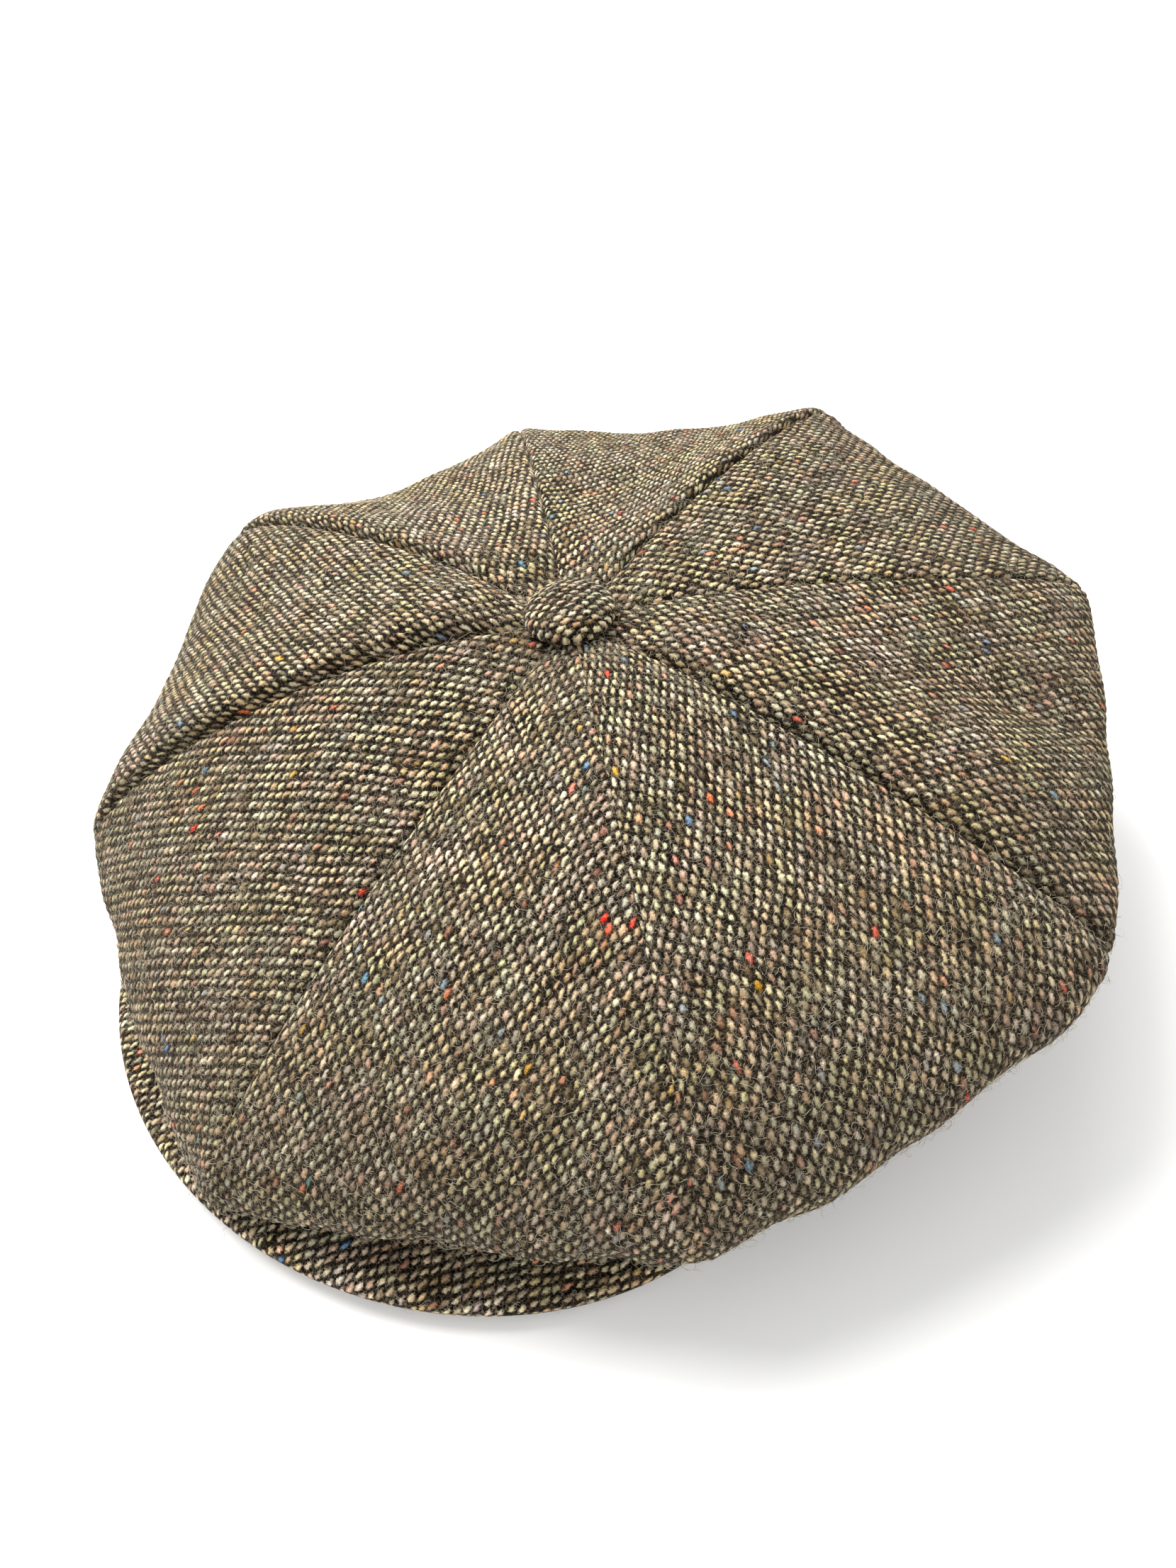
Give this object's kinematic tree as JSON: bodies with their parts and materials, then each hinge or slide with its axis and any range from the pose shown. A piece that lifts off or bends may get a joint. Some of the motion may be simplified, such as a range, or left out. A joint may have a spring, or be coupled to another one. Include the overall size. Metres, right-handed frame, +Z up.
{
  "type": "newsboy cap",
  "caption": "Soft panelled newsboy cap in flecked tweed, with a covered button on its crown, a snap-down peak, a full lining and a stiffened headband.",
  "frame": {"origin": "on the surface that the cap lies on, below the middle of its outline", "axes": "+Z up, the peak towards -Y, the wearer's left towards +X"},
  "size_m": [0.2851, 0.2817, 0.0877],
  "materials": {
    "tweed": "coarse plain-weave wool tweed, cream beads on dark brown with coloured flecks",
    "lining_satin": "fine satin lining",
    "sweatband_cotton": "ribbed cotton tape",
    "buckram": "stiffened open weave",
    "peak_board": "flexible moulded board",
    "button_metal": "pressed sheet",
    "snap_brass": "antique brass",
    "tab_weave": "plain woven tape, blank"
  },
  "bodies": {
    "cap": {"crown_panel_front_left": "tweed", "crown_panel_temple_left": "tweed", "crown_panel_side_left": "tweed", "crown_panel_back_left": "tweed", "crown_panel_back_right": "tweed", "crown_panel_side_right": "tweed", "crown_panel_temple_right": "tweed", "crown_panel_front_right": "tweed", "lining_panel_front_left": "lining_satin", "lining_panel_temple_left": "lining_satin", "lining_panel_side_left": "lining_satin", "lining_panel_back_left": "lining_satin", "lining_panel_back_right": "lining_satin", "lining_panel_side_right": "lining_satin", "lining_panel_temple_right": "lining_satin", "lining_panel_front_right": "lining_satin", "headband": "tweed", "band_stiffener": "buckram", "sweatband": "sweatband_cotton", "size_tab": "tab_weave", "snap_socket": "snap_brass", "button_cover": "tweed", "button_shell": "button_metal", "button_collet": "button_metal", "button_shank": "button_metal"},
    "peak": {"peak_top_cover": "tweed", "peak_core": "peak_board", "peak_under_cover": "tweed", "snap_stud": "snap_brass"}
  },
  "joints": [
    {"name": "peak_flex", "type": "hinge", "parent": "cap", "child": "peak", "pos_m": [0, -0.06, 0.005], "axis": [1, 0, 0], "range_deg": [0, 10], "stiffness_Nm_per_rad": 1.5, "springref_deg": -1.15}
  ]
}
